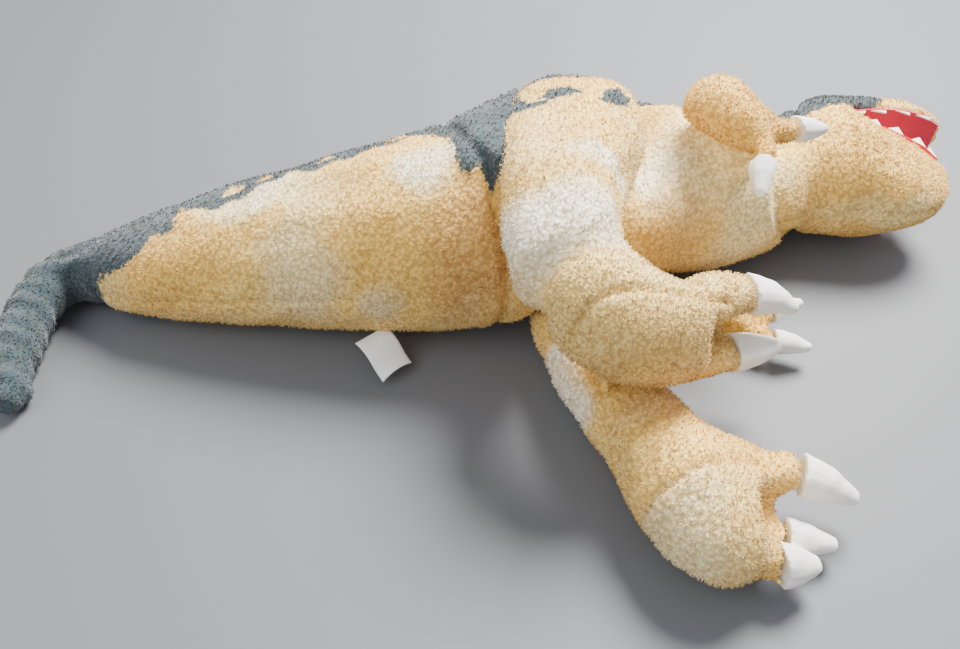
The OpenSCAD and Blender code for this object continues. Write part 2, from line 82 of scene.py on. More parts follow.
def new_object(name, verts, faces):
    mesh = bpy.data.meshes.new(name)
    mesh.from_pydata(np.asarray(verts).tolist(), [], [list(map(int, f)) for f in faces])
    mesh.update()
    obj = bpy.data.objects.new(name, mesh)
    bpy.context.scene.collection.objects.link(obj)
    return obj


def drop(obj):
    mesh = obj.data
    bpy.data.objects.remove(obj)
    bpy.data.meshes.remove(mesh)


def arrays(mesh):
    co = np.empty(len(mesh.vertices) * 3)
    mesh.vertices.foreach_get("co", co)
    return co.reshape(-1, 3)


def baked(obj):
    """The object's mesh with its modifiers applied, as vertices and faces."""
    bpy.context.view_layer.update()
    graph = bpy.context.evaluated_depsgraph_get()
    mesh = bpy.data.meshes.new_from_object(obj.evaluated_get(graph))
    co = arrays(mesh)
    faces = [list(p.vertices) for p in mesh.polygons]
    bpy.data.meshes.remove(mesh)
    return co, faces


def hull(points):
    """Convex hull of some points, to fill the wedge that the frame leaves at a hinge."""
    bm = bmesh.new()
    for p in points:
        bm.verts.new(p)
    out = bmesh.ops.convex_hull(bm, input=bm.verts)
    junk = [g for g in out["geom_interior"] if isinstance(g, bmesh.types.BMVert)]
    bmesh.ops.delete(bm, geom=junk, context="VERTS")
    bm.verts.index_update()
    co = np.array([v.co for v in bm.verts])
    faces = [[v.index for v in f.verts] for f in bm.faces]
    bm.free()
    return co, faces


def joined(*parts):
    verts, faces, base = [], [], 0
    for co, fs in parts:
        verts.append(co)
        faces += [[i + base for i in f] for f in fs]
        base += len(co)
    return np.vstack(verts), faces


def as_quads(faces):
    """The faces as one array, with a triangle's last corner given twice."""
    return np.array([x if len(x) == 4 else x + x[-1:] for x in faces])


def edges_of(faces):
    pairs = set()
    for f in faces:
        for a, b in zip(f, f[1:] + f[:1]):
            pairs.add((a, b) if a < b else (b, a))
    return np.array(sorted(pairs))


def smoothed(co, edges, times, keep=0.5):
    """Laplacian smoothing that doesn't shrink: a step in, then a slightly larger step out."""
    degree = np.bincount(edges.ravel(), minlength=len(co))[:, None]
    for k in range(times * 2):
        total = np.zeros_like(co)
        for axis in range(3):
            total[:, axis] = np.bincount(edges[:, 0], co[edges[:, 1], axis], len(co))
            total[:, axis] += np.bincount(edges[:, 1], co[edges[:, 0], axis], len(co))
        step = keep if k % 2 == 0 else -keep * 1.04
        co = co + step * (total / np.maximum(degree, 1) - co)
    return co


def vertex_normals(co, faces):
    f = as_quads(faces)
    n = np.cross(co[f[:, 2]] - co[f[:, 0]], co[f[:, 3]] - co[f[:, 1]])
    out = np.zeros_like(co)
    for k in range(4):
        for axis in range(3):
            out[:, axis] += np.bincount(f[:, k], n[:, axis], len(co))
    return out / np.maximum(np.linalg.norm(out, axis=1, keepdims=True), 1e-12)


def shells(co, faces):
    """The connected pieces of a mesh, largest first."""
    parent = np.arange(len(co))
    edges = edges_of(faces)
    while True:
        low = np.minimum(parent[edges[:, 0]], parent[edges[:, 1]])
        before = parent.copy()
        np.minimum.at(parent, edges[:, 0], low)
        np.minimum.at(parent, edges[:, 1], low)
        parent = parent[parent]
        if (parent == before).all():
            break
    out = []
    names, counts = np.unique(parent, return_counts=True)
    for name in names[np.argsort(-counts)]:
        keep = parent == name
        index = np.cumsum(keep) - 1
        out.append((co[keep], [[int(index[v]) for v in f] for f in faces if keep[f[0]]]))
    return out


def remeshed(co, faces, voxel, smooth=3, one=True):
    obj = new_object("remesh", co, faces)
    m = obj.modifiers.new("voxel", "REMESH")
    m.mode = "VOXEL"
    m.voxel_size = voxel
    co, faces = baked(obj)
    drop(obj)
    if one:
        co, faces = shells(co, faces)[0]
    return smoothed(co, edges_of(faces), smooth), faces


def nearby(co, point, radius):
    """The vertices within a distance of a point, seen from above."""
    return co[np.hypot(*(co - point)[:, :2].T) < radius]


# ---------------------------------------------------------------- the stuffed forms
VOXEL = 0.005


def stuffed(nodes, fillers=()):
    return remeshed(*joined(node_arrays(*nodes), *fillers), VOXEL)


def slab(nodes, point, heading, low, high):
    """Vertices of some nodes between two distances from a point along a heading."""
    co, _ = node_arrays(*nodes)
    distance = (co - point) @ heading_way(heading)
    return co[(distance > low) & (distance < high)]


TRUNK = ["trunk_right_cover", "trunk_left_cover", "trunk_stuffing"]
TAIL = ["tail_right_cover", "tail_left_cover", "tail_stuffing"]
TIP = ["tail_tip_cover", "tail_tip_stuffing"]
HEAD = ["head_right_cover", "head_left_cover", "head_stuffing"]
JAW = ["jaw_right_cover", "jaw_left_cover", "jaw_stuffing"]

THIGH_RIGHT = ["right_thigh_cover", "right_thigh_stuffing"]
THIGH_LEFT = ["left_thigh_cover", "left_thigh_stuffing"]
FOOT_RIGHT = ["right_foot_upper", "right_foot_sole", "right_foot_stuffing", "right_toes"]
FOOT_LEFT = ["left_foot_upper", "left_foot_sole", "left_foot_stuffing", "left_toes"]
ARM_RIGHT = ["right_arm_cover", "right_arm_stuffing", "right_fingers"]
ARM_LEFT = ["left_arm_cover", "left_arm_stuffing", "left_fingers"]

# A point on each sewn line that the toy bends at, and the headings across four of them, in degrees.
tail_seam = at(-8.5, 27.5, 75)
neck_seam = at(258, 120, 60)
tip_seam = at(-306, 37.5, 30)
jaw_seam = at(302.5, 139, 61)
left_ankle = at(111.2, -136, 34)
right_ankle = at(64, -82, 127)
TAIL_HEADING, NECK_HEADING = 22, 16
LEFT_SHIN_HEADING, RIGHT_SHIN_HEADING = -57, -61
# The skins of the jaw and the head part along a line that rises from the jaw's seam by this slope.
PARTING_SLOPE = 0.14

wedges = [
    hull(slab(TRUNK + TAIL, tail_seam, TAIL_HEADING, -0.022, 0.022)),
    hull(slab(TRUNK + HEAD, neck_seam, NECK_HEADING, -0.014, 0.014)),
    hull(nearby(node_arrays(*TAIL, *TIP)[0], tip_seam, 0.034)),
]
throat = np.vstack([slab(HEAD, neck_seam, NECK_HEADING, 0.0, 0.012), slab(HEAD, jaw_seam, 0, -0.012, 0.004),
                    slab(JAW, jaw_seam, 0, -0.002, 0.034)])
wedges.append(hull(throat[throat[:, 1] < jaw_seam[1] + 0.003]))


def plug(cover, low, high, shrink, bottom, top):
    """A lump that joins a limb to the side it is sewn to: the limb's flat face, which lies between
    the heights low and high, narrowed and stretched between the heights bottom and top."""
    co, _ = node_arrays(cover)
    face = co[(co[:, 2] > low) & (co[:, 2] < high)]
    middle = face.mean(0)
    ring = middle + (face - middle) * shrink
    return hull([(x, y, z) for x, y, _ in ring for z in (bottom, top)])


wedges.append(plug("right_thigh_cover", 0.120, 0.126, 0.78, 0.108, 0.140))
wedges.append(plug("left_thigh_cover", 0.047, 0.051, 0.72, 0.030, 0.064))
wedges.append(plug("right_arm_cover", 0.140, 0.147, 0.86, 0.118, 0.156))
# The hip stands fuller between the tail's seam and the thigh.
hip = np.vstack([slab(TAIL, tail_seam, TAIL_HEADING, -0.016, 0.0),
                 slab(TRUNK, tail_seam, TAIL_HEADING, 0.0, 0.018), node_arrays("right_thigh_cover")[0]])
hip = hip[(hip[:, 0] < 0.004) & (hip[:, 1] > 0.0) & (hip[:, 2] > 0.10)]
wedges.append(hull(hip))

left_ankle_fill = hull(slab(["left_thigh_cover", "left_foot_upper", "left_foot_sole"], left_ankle,
                            LEFT_SHIN_HEADING, -0.03, 0.03))
# A narrowed lump carries the right leg into the foot's ball, and shows over a part of it.
ends = slab(["right_thigh_cover", "right_foot_upper", "right_foot_sole"], right_ankle,
            RIGHT_SHIN_HEADING, -0.018, 0.018)
right_ankle_fill = hull(ends.mean(0) + (ends - ends.mean(0)) * 0.82)
# The left toes' roots are filled up to the foot.
toes = node_arrays("left_toes")[0]
foot_side = nearby(node_arrays("left_foot_upper", "left_foot_sole")[0], at(146, -166, 38), 0.03)
toe_fill = hull(np.vstack([toes[(toes[:, 1] > -0.172) & (toes[:, 0] < 0.160)], foot_side]))

forms = {
    "body": stuffed(TRUNK + TAIL + TIP + HEAD + JAW, wedges),
    "right_arm": stuffed(ARM_RIGHT),
    "left_arm": stuffed(ARM_LEFT),
    "right_leg": stuffed(THIGH_RIGHT, [right_ankle_fill]),
    "right_foot": stuffed(FOOT_RIGHT),
    "left_limb": stuffed(THIGH_LEFT + FOOT_LEFT, [left_ankle_fill, toe_fill]),
}


def inset(co, faces, depth):
    """The form drawn in by a skin's thickness, so that swelling brings it back to size."""
    co = co - vertex_normals(co, faces) * depth
    return smoothed(co, edges_of(faces), 2)


def widened(co):
    """The thigh drawn out towards the tail, where it lies loose over the hip."""
    lean = np.clip((0.036 - co[:, 0]) / 0.030, 0, 1) * np.clip((0.085 - co[:, 1]) / 0.05, 0, 1)
    out = co.copy()
    out[:, 0] -= 0.010 * lean
    return out


def lowered_lip(co):
    """The lower jaw's upper lip tapers down towards its tip, so that the mouth shows."""
    t = np.clip((co[:, 0] - 0.282) / 0.08, 0, 1)
    below = co[:, 1] < 0.156 + PARTING_SLOPE * (co[:, 0] - 0.273)
    high = np.clip((co[:, 2] - 0.058) / 0.02, 0, 1)
    out = co.copy()
    out[:, 2] -= below * high * t * 0.23 * (co[:, 2] - 0.058)
    out[:, 1] -= below * t * 0.0025
    out[:, 0] -= below * np.clip((co[:, 0] - 0.34) / 0.05, 0, 1) * 0.007
    return out


def swollen(forms, pressure=4.0, frames=20, cap=0.003):
    """The forms puffed up by their filling: one cloth simulation of them all, in which no
    point moves further than the cap."""
    names = list(forms)
    co, faces = joined(*[forms[n] for n in names])
    obj = new_object("cloth", co, faces)
    m = obj.modifiers.new("cloth", "CLOTH")
    m.settings.use_pressure = True
    m.settings.uniform_pressure_force = pressure
    m.settings.effector_weights.gravity = 0
    m.settings.quality = 4
    m.settings.shrink_min = -0.01
    m.collision_settings.use_collision = False
    m.point_cache.frame_end = frames
    scene = bpy.context.scene
    for f in range(1, frames + 1):
        scene.frame_set(f)
    puffed, _ = baked(obj)
    drop(obj)
    scene.frame_set(1)
    move = puffed - co
    length = np.linalg.norm(move, axis=1, keepdims=True)
    co = co + move * np.minimum(1, cap / np.maximum(length, 1e-9))
    out, start = {}, 0
    for n in names:
        count = len(forms[n][0])
        part = smoothed(co[start:start + count], edges_of(forms[n][1]), 1)
        out[n] = (part, forms[n][1])
        start += count
    return out


# How far each form is drawn in before the pressure fills it out, in metres.
ARM_INSET, BODY_INSET = 0.002, 0.003
forms = {n: (inset(co, faces, ARM_INSET if "arm" in n else BODY_INSET), faces)
         for n, (co, faces) in forms.items()}
forms["right_leg"] = (widened(forms["right_leg"][0]), forms["right_leg"][1])
forms["body"] = (lowered_lip(forms["body"][0]), forms["body"][1])
forms = swollen(forms)


# ---------------------------------------------------------------- camera, light, floor
def aim(obj, target):
    direction = Vector(target) - obj.location
    obj.rotation_euler = direction.to_track_quat("-Z", "Y").to_euler()


cam = bpy.data.cameras.new("camera")
cam.lens = 29.25
cam.sensor_width = 36
cam_obj = bpy.data.objects.new("camera", cam)
cam_obj.location = (-0.0296, -0.4241, 0.460)
cam_obj.rotation_euler = (math.radians(43.8), 0, 0)
bpy.context.scene.collection.objects.link(cam_obj)
bpy.context.scene.camera = cam_obj


def area_light(name, place, target, size, power, colour):
    lamp = bpy.data.lights.new(name, "AREA")
    lamp.shape = "DISK"
    lamp.size = size
    lamp.energy = power
    lamp.color = colour
    obj = bpy.data.objects.new(name, lamp)
    obj.location = place
    aim(obj, target)
    bpy.context.scene.collection.objects.link(obj)


area_light("key", (0.6, 0.9, 1.5), (0, 0.05, 0), 0.9, 165, (1.0, 0.98, 0.95))
area_light("fill", (-1.0, -0.9, 1.4), (0, 0, 0), 1.6, 18, (0.95, 0.98, 1.0))
world = bpy.data.worlds.new("studio")
bpy.context.scene.world = world
world.use_nodes = True
world.node_tree.nodes["Background"].inputs[0].default_value = (0.9, 0.93, 1.0, 1)
world.node_tree.nodes["Background"].inputs[1].default_value = 0.72


def srgb(*levels):
    """A display colour, each level 0 to 255, as linear light."""
    parts = [v / 255 for v in levels]
    return tuple(c / 12.92 if c <= 0.04045 else ((c + 0.055) / 1.055) ** 2.4 for c in parts)


def shader(name, colour, rough=0.9):
    mat = bpy.data.materials.new(name)
    mat.use_nodes = True
    tree = mat.node_tree
    bsdf = tree.nodes["Principled BSDF"]
    bsdf.inputs["Base Color"].default_value = (*srgb(*colour), 1)
    bsdf.inputs["Roughness"].default_value = rough
    return mat, tree, bsdf


def link(tree, a, b):
    tree.links.new(a, b)


def node(tree, kind, **values):
    """A new shader node; each value is a setting, or a socket with _ for a space."""
    n = tree.nodes.new(kind)
    for key, value in values.items():
        if hasattr(n, key):
            setattr(n, key, value)
        else:
            n.inputs[key.replace("_", " ")].default_value = value
    return n


def bumped(tree, bsdf, height, strength, distance):
    bump = node(tree, "ShaderNodeBump", Strength=strength, Distance=distance)
    link(tree, height, bump.inputs["Height"])
    link(tree, bump.outputs["Normal"], bsdf.inputs["Normal"])


floor = new_object("floor", [(-9, -9, 0), (9, -9, 0), (9, 9, 0), (-9, 9, 0)], [(0, 1, 2, 3)])
mat, tree, bsdf = shader("floor_paint", (104, 106, 110), 0.6)
floor.data.materials.append(mat)


# ---------------------------------------------------------------- fleece: print, pile, seams
TAN, CREAM, OCHRE = srgb(250, 212, 118), srgb(255, 240, 180), srgb(240, 195, 94)
# The first colour on the next line is painted shade, laid on the shaded side of the hip.
HIP_SHADE_BROWN, WHITE, BEIGE = srgb(212, 164, 92), srgb(255, 251, 230), srgb(236, 206, 130)
GREY_WHITE = srgb(244, 230, 186)

# Soft patches of the print, and one patch of painted shade on the hip: centre and radii in mm, colour,
# strength.
BODY_BLOBS = [
    ((-270, 5, 80), (52, 40, 60), OCHRE, 0.95),
    ((-322, 12, 45), (18, 20, 30), BEIGE, 0.8),
    ((-190, 38, 112), (52, 14, 30), WHITE, 0.9),
    ((-150, 30, 120), (30, 18, 34), CREAM, 0.8),
    ((-222, 40, 100), (26, 16, 30), CREAM, 0.8),
    ((-158, -18, 86), (30, 36, 44), GREY_WHITE, 0.7),
    ((-128, 34, 128), (30, 20, 40), OCHRE, 0.5),
    ((-66, 34, 142), (22, 20, 30), WHITE, 0.85),
    ((-84, -24, 98), (48, 36, 52), OCHRE, 0.7),
    # Painted shade: the hip's side next to the tail's seam, darkened to brown.
    ((-34, -30, 108), (34, 52, 62), HIP_SHADE_BROWN, 0.85),
    ((-104, -34, 60), (30, 10, 26), GREY_WHITE, 0.7),
    ((-40, -46, 62), (26, 14, 26), GREY_WHITE, 0.6),
    ((-10, 20, 140), (22, 30, 40), OCHRE, 0.8),
    ((100, 92, 150), (32, 30, 40), TAN, 0.6),
    ((106, 44, 132), (24, 34, 46), WHITE, 1.0),
    ((140, 78, 130), (30, 46, 44), CREAM, 0.9),
    ((124, 10, 98), (38, 34, 52), OCHRE, 0.75),
    ((176, 34, 78), (24, 40, 56), CREAM, 0.9),
    ((196, 80, 100), (24, 34, 40), CREAM, 0.75),
    ((236, 70, 70), (26, 34, 44), OCHRE, 0.7),
    ((300, 100, 92), (60, 30, 40), TAN, 0.7),
    ((316, 84, 60), (56, 22, 16), CREAM, 0.7),
]
LEG_BLOBS = [
    ((20, 10, 176), (30, 46, 60), CREAM, 0.55),
    ((50, 30, 176), (34, 34, 60), TAN, 0.8),
    ((48, -6, 172), (20, 10, 60), WHITE, 0.95),
    ((24, -20, 172), (44, 15, 60), OCHRE, 0.5),
    ((20, -52, 160), (60, 22, 70), WHITE, 1.0),
    ((76, 10, 140), (16, 70, 60), BEIGE, 0.9),
]
SHIN_BLOBS = [
    ((30, -58, 40), (30, 14, 60), WHITE, 0.9),
    ((62, -72, 44), (30, 26, 60), OCHRE, 0.8),
    ((34, -92, 20), (12, 34, 40), WHITE, 0.95),
    ((84, -108, 50), (30, 20, 50), CREAM, 0.6),
    ((96, -130, 40), (24, 18, 50), OCHRE, 0.6),
]
FOOT_BLOBS = [
    ((60, -66, 140), (60, 18, 30), CREAM, 0.5),
    ((64, -100, 80), (44, 34, 40), OCHRE, 0.7),
    ((118, -88, 60), (34, 30, 30), OCHRE, 0.55),
    ((88, -204, 40), (20, 26, 60), GREY_WHITE, 0.8),
    ((118, -160, 66), (24, 26, 30), TAN, 0.7),
    ((150, -150, 50), (34, 26, 30), OCHRE, 0.6),
    ((146, -206, 30), (30, 20, 30), OCHRE, 0.6),
]
ARM_BLOBS = [
    ((140, 76, 176), (30, 26, 40), TAN, 0.8),
    ((128, 40, 150), (20, 30, 40), OCHRE, 0.8),
    ((172, 60, 160), (30, 24, 30), OCHRE, 0.6),
]


def blended(co, base, blobs):
    """Base colour with soft-edged patches over it, their edges wobbled."""
    mm = co * 1000
    wobble = np.stack([np.sin(mm[:, 1] / 9 + mm[:, 2] / 13), np.sin(mm[:, 0] / 11 + 1.3),
                       np.sin(mm[:, 0] / 8 - mm[:, 1] / 15)], 1)
    mm = mm + 4.5 * wobble
    out = np.tile(np.array(base), (len(co), 1))
    for centre, radii, colour, strength in blobs:
        d = np.linalg.norm((mm - centre) / radii, axis=1)
        w = np.clip(1.5 - d, 0, 1.0)
        w = (strength * w * w * (3 - 2 * w))[:, None]
        out = out * (1 - w) + np.array(colour) * w
    return out


def inside(mm, outline):
    """Signed distance in mm to a closed outline seen from above, positive inside."""
    p = mm[:, :2]
    ring = np.array(outline, float)
    best = np.full(len(p), 1e9)
    odd = np.zeros(len(p), bool)
    for a, b in zip(ring, np.roll(ring, -1, 0)):
        t = np.clip(((p - a) @ (b - a)) / max((b - a) @ (b - a), 1e-9), 0, 1)
        best = np.minimum(best, np.linalg.norm(p - a - t[:, None] * (b - a), axis=1))
        cross = (a[1] > p[:, 1]) != (b[1] > p[:, 1])
        dy = b[1] - a[1] if abs(b[1] - a[1]) > 1e-9 else 1e-9
        odd ^= cross & (p[:, 0] < (b[0] - a[0]) * (p[:, 1] - a[1]) / dy + a[0])
    return np.where(odd, best, -best)


# The slate of the back, seen from above (mm), and tan islands in it.
BODY_SLATE = [
    [(-500, -200), (-340, -200), (-331, 6), (-327, 19), (-318, 20), (-300, 17), (-284, 22), (-276, 34),
     (-268, 27), (-258, 30), (-250, 46), (-238, 43), (-226, 37), (-214, 44), (-204, 40), (-192, 52),
     (-176, 50), (-168, 60), (-152, 50), (-140, 62), (-124, 58), (-108, 66), (-92, 62), (-80, 74),
     (-64, 66), (-52, 58), (-44, 22), (-36, 16), (-30, 24), (-22, 8), (-12, 14), (-8, 60), (4, 112),
     (20, 118), (60, 128), (92, 130), (112, 128), (136, 140), (170, 146), (205, 150), (240, 152),
     (262, 158), (282, 163), (304, 172), (318, 183), (326, 200), (318, 400), (-500, 400)],
]
BODY_ISLANDS = [
    [(-262, 38), (-252, 36), (-247, 43), (-256, 50)],
    [(-224, 52), (-212, 50), (-206, 57), (-218, 62)],
    [(-196, 58), (-186, 57), (-184, 66), (-194, 66)],
    [(-98, 74), (-84, 76), (-88, 88), (-104, 82)],
    [(-150, 66), (-138, 70), (-146, 78)],
    [(60, 128), (84, 132), (92, 142), (72, 146)],
]
THIGH_SLATE = [
    [(-40, 12), (-16, 2), (-12, 20), (-15, 40), (-12, 54), (-4, 56), (8, 53), (20, 52), (16, 60),
     (4, 62), (-2, 78), (-6, 100), (-2, 112), (-40, 140)],
    [(10, 64), (20, 58), (34, 60), (42, 66), (34, 74), (20, 76)],
    [(52, 60), (64, 58), (74, 66), (80, 80), (70, 92), (60, 80)],
    [(-10, 104), (10, 98), (40, 104), (56, 112), (50, 150), (-20, 150)],
]


def slate_field(mm, outlines, islands):
    """Distance in mm to the slate print's border, positive inside it."""
    field = np.full(len(mm), -60.0)
    for outline in outlines:
        field = np.maximum(field, inside(mm, outline))
    for outline in islands:
        field = np.minimum(field, -inside(mm, outline))
    return np.clip(field, -12, 12)


def fleece_material(name, nub, strength=1.0):
    """Curly pile: small nubs with painted shade in the crevices between them and a slight painted highlight
    on their tops, a printed colour, ragged print edges.
    """
    mat, tree, bsdf = shader(name, (236, 200, 132), 0.95)
    coords = node(tree, "ShaderNodeTexCoord").outputs["Object"]
    tone = node(tree, "ShaderNodeAttribute", attribute_name="tone").outputs["Color"]
    field = node(tree, "ShaderNodeAttribute", attribute_name="slate").outputs["Fac"]
    curls = node(tree, "ShaderNodeTexVoronoi", feature="SMOOTH_F1", Scale=1 / nub, Smoothness=0.6)
    warp = node(tree, "ShaderNodeTexNoise", Scale=0.35 / nub, Detail=2.0)
    mixv = node(tree, "ShaderNodeMixRGB", blend_type="ADD")
    mixv.inputs["Fac"].default_value = 0.004
    link(tree, coords, mixv.inputs["Color1"])
    link(tree, warp.outputs["Color"], mixv.inputs["Color2"])
    link(tree, coords, warp.inputs["Vector"])
    link(tree, mixv.outputs["Color"], curls.inputs["Vector"])
    fine = node(tree, "ShaderNodeTexNoise", Scale=2.6 / nub, Detail=3.0, Roughness=0.6)
    cloud = node(tree, "ShaderNodeTexNoise", Scale=26.0, Detail=4.0, Roughness=0.55)
    ragged = node(tree, "ShaderNodeTexNoise", Scale=260.0, Detail=3.0, Roughness=0.7)
    for n in (fine, cloud, ragged):
        link(tree, coords, n.inputs["Vector"])

    def math_node(op, a, b=None, clamp=False):
        n = node(tree, "ShaderNodeMath", operation=op, use_clamp=clamp)
        for k, v in enumerate((a, b)):
            if v is None:
                continue
            if isinstance(v, (int, float)):
                n.inputs[k].default_value = v
            else:
                link(tree, v, n.inputs[k])
        return n.outputs[0]

    def mix(kind, fac, a, b):
        n = node(tree, "ShaderNodeMixRGB", blend_type=kind)
        for key, v in (("Fac", fac), ("Color1", a), ("Color2", b)):
            if isinstance(v, tuple):
                n.inputs[key].default_value = (*v, 1)
            elif isinstance(v, (int, float)):
                n.inputs[key].default_value = v
            else:
                link(tree, v, n.inputs[key])
        return n.outputs["Color"]

    jag = math_node("MULTIPLY", math_node("SUBTRACT", ragged.outputs["Fac"], 0.5), 15.0)
    mask = math_node("ADD", math_node("MULTIPLY", math_node("ADD", field, jag), 0.9), 0.5, clamp=True)
    slate = mix("MIX", cloud.outputs["Fac"], srgb(30, 42, 45), srgb(66, 90, 108))
    fleck = math_node("MULTIPLY", math_node("SUBTRACT", ragged.outputs["Fac"], 0.42, True), 2.2, True)
    slate = mix("MIX", fleck, slate, srgb(88, 90, 66))
    clouded = mix("MIX", cloud.outputs["Fac"], (0.80, 0.72, 0.60), (1.2, 1.24, 1.3))
    ground = mix("MULTIPLY", 0.55, tone, clouded)
    colour = mix("MIX", mask, ground, slate)
    # Painted shade: the colour darkened and browned in the crevices between the nubs, and lifted a little
    # on the nubs' tops as a painted highlight.
    depth = math_node("MULTIPLY", math_node("SUBTRACT", curls.outputs["Distance"], 0.22, True), 2.2, True)
    shade = mix("MIX", depth, (1.06, 1.06, 1.06), (0.56, 0.46, 0.30))
    colour = mix("MULTIPLY", 0.75 * strength, colour, shade)
    grain = mix("MIX", fine.outputs["Fac"], (0.82, 0.79, 0.74), (1.22, 1.24, 1.28))
    colour = mix("MULTIPLY", 0.5, colour, grain)
    link(tree, colour, bsdf.inputs["Base Color"])
    hollow = math_node("MULTIPLY", curls.outputs["Distance"], -1.0)
    height = math_node("ADD", hollow, math_node("MULTIPLY", fine.outputs["Fac"], 0.35))
    bumped(tree, bsdf, height, 0.75 * strength, 0.0012)
    bsdf.inputs["Sheen Weight"].default_value = 0.25
    bsdf.inputs["Sheen Roughness"].default_value = 0.6
    bsdf.inputs["Specular IOR Level"].default_value = 0.12
    return mat


curly = fleece_material("curly_fleece", 0.0030)
sole_curly = fleece_material("sole_fleece", 0.0026)
short_slate = fleece_material("short_slate_fleece", 0.0016, 0.7)


def subdivided(co, faces):
    obj = new_object("sub", co, faces)
    m = obj.modifiers.new("sub", "SUBSURF")
    m.levels = 1
    m.render_levels = 1
    out = baked(obj)
    drop(obj)
    return out


def tree_of(points):
    kd = KDTree(len(points))
    for i, p in enumerate(points):
        kd.insert(p, i)
    kd.balance()
    return kd


def seam_points(a, b, reach=0.0016):
    """The points of one panel of the frame that touch the panel it is sewn to."""
    first, second = node_arrays(a)[0], node_arrays(b)[0]
    kd = tree_of(second)
    found = sorted({tuple(p) for p in first if kd.find(p)[2] < reach})
    return [np.array(p) for p in found]


def chain(points, step=0.003, reach=0.028):
    """Points filled in between neighbours along a seam."""
    if len(points) < 2:
        return points
    kd, out = tree_of(points), list(points)
    for p in points:
        for q, _, d in kd.find_n(p, 4):
            if step < d < reach:
                q = np.array(q)
                out += [p + (q - p) * t for t in np.arange(0, 1, step / d)]
    return out


def grooved(co, normals, points, depth=0.0022, width=0.0032):
    """The skin pulled in along a seam's points."""
    if not points:
        return co
    kd = tree_of(points)
    d = np.array([kd.find(p)[2] for p in co])
    return co - normals * (depth * np.exp(-((d / width) ** 2)))[:, None]


def waves(mm, seed):
    """Slow uneven lumps of a stuffed skin, about -1 to 1."""
    r = np.random.default_rng(seed)
    out = np.zeros(len(mm))
    for _ in range(7):
        k = r.normal(size=3)
        k /= np.linalg.norm(k) * r.uniform(14, 30)
        out += np.sin(mm @ k * math.pi + r.uniform(0, 6.3))
    return out / 3.2


LOCK_POINTS = 7
FLOOR_GAP = 0.0004


def tufts(co, faces, normals, count, length, width, keep=None):
    """Short curled locks of pile that stand out of the skin: bent spikes of two segments."""
    f = as_quads(faces)
    if keep is not None:
        f = f[keep[f].all(1)]
    area = np.linalg.norm(np.cross(co[f[:, 2]] - co[f[:, 0]], co[f[:, 3]] - co[f[:, 1]]), axis=1)
    pick = rng.choice(len(f), count, p=area / area.sum())
    w = rng.dirichlet((1, 1, 1, 1), count)
    quad = f[pick]
    root = (co[quad] * w[:, :, None]).sum(1)
    up = (normals[quad] * w[:, :, None]).sum(1)
    up /= np.linalg.norm(up, axis=1, keepdims=True)
    side = np.cross(up, rng.normal(size=(count, 3)))
    side /= np.linalg.norm(side, axis=1, keepdims=True)
    across = np.cross(up, side)
    tall = length * rng.uniform(0.5, 1.25, (count, 1))
    wide = width * rng.uniform(0.7, 1.2, (count, 1))
    down = up * -0.0006
    mid = root + up * tall * 0.62 + side * tall * 0.25
    tip = root + up * tall * 0.85 + side * tall * 0.75
    pts = [root + side * wide * 0.5 + down, root - side * wide * 0.35 + across * wide * 0.5 + down,
           root - side * wide * 0.35 - across * wide * 0.5 + down,
           mid + side * wide * 0.3, mid - side * wide * 0.2 + across * wide * 0.3,
           mid - side * wide * 0.2 - across * wide * 0.3, tip]
    verts = np.stack(pts, 1).reshape(-1, 3)
    base = np.arange(count)[:, None] * LOCK_POINTS + len(co)
    walls = []
    for a, b in ((0, 1), (1, 2), (2, 0)):
        walls.append(np.hstack([base + a, base + b, base + b + 3, base + a + 3]))
    caps = [np.hstack([base + a, base + b, base + 6]) for a, b in ((3, 4), (4, 5), (5, 3))]
    near = quad[np.arange(count), w.argmax(1)]
    return verts, [x.tolist() for x in walls] + [x.tolist() for x in caps], np.repeat(near, LOCK_POINTS)


def skin(name, body, co, faces, normals, tone, slate, nodes, material, pile, bald=None):
    """One sewn fleece piece: the skin, its locks of pile where it isn't bald, its print and the frame
    nodes that it stands for. It rides one body when body is a name; otherwise body is not used."""
    count, length, width = pile
    keep = None if bald is None else ~bald
    verts, walls, near = tufts(co, faces, normals, count, length, width, keep)
    all_co = np.vstack([co, verts])
    all_co[:, 2] = np.maximum(all_co[:, 2], FLOOR_GAP)
    all_faces = list(faces)
    for part in walls:
        all_faces += part
    obj = new_object(name, all_co, all_faces)
    mesh = obj.data
    mesh.shade_smooth()
    lift = rng.uniform(0.98, 1.28, (count, 1)).repeat(LOCK_POINTS, axis=1).reshape(-1)
    colour = np.ones((len(all_co), 4))
    colour[:, :3] = np.vstack([tone, tone[near] * lift[:, None]])
    layer = mesh.attributes.new("tone", "FLOAT_COLOR", "POINT")
    layer.data.foreach_set("color", colour.astype(np.float32).ravel())
    layer = mesh.attributes.new("slate", "FLOAT", "POINT")
    layer.data.foreach_set("value", np.concatenate([slate, slate[near]]).astype(np.float32))
    mesh.materials.append(material)
    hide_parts(*nodes)
    if isinstance(body, str):
        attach(obj, body)
    else:
        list(body)
        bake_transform(obj)


def cut(co, faces, normals, keep_vertex_test):
    """The faces whose centre passes a test, with the vertices they use."""
    f = as_quads(faces)
    chosen = keep_vertex_test(co[f].mean(1))
    used = np.zeros(len(co), bool)
    used[f[chosen]] = True
    index = np.cumsum(used) - 1
    return used, [[int(index[i]) for i in faces[k]] for k in np.where(chosen)[0]]


def along(p, point, heading):
    """How far points lie from a point along a heading."""
    a = math.radians(heading)
    return (p[:, 0] - point[0]) * math.cos(a) + (p[:, 1] - point[1]) * math.sin(a)


# How many locks of pile are drawn, next to the full number, and a lock's usual size.
PILE = 1.0
LOCK_LONG, LOCK_SHORT, LOCK_WIDE = 0.0020, 0.0014, 0.0010

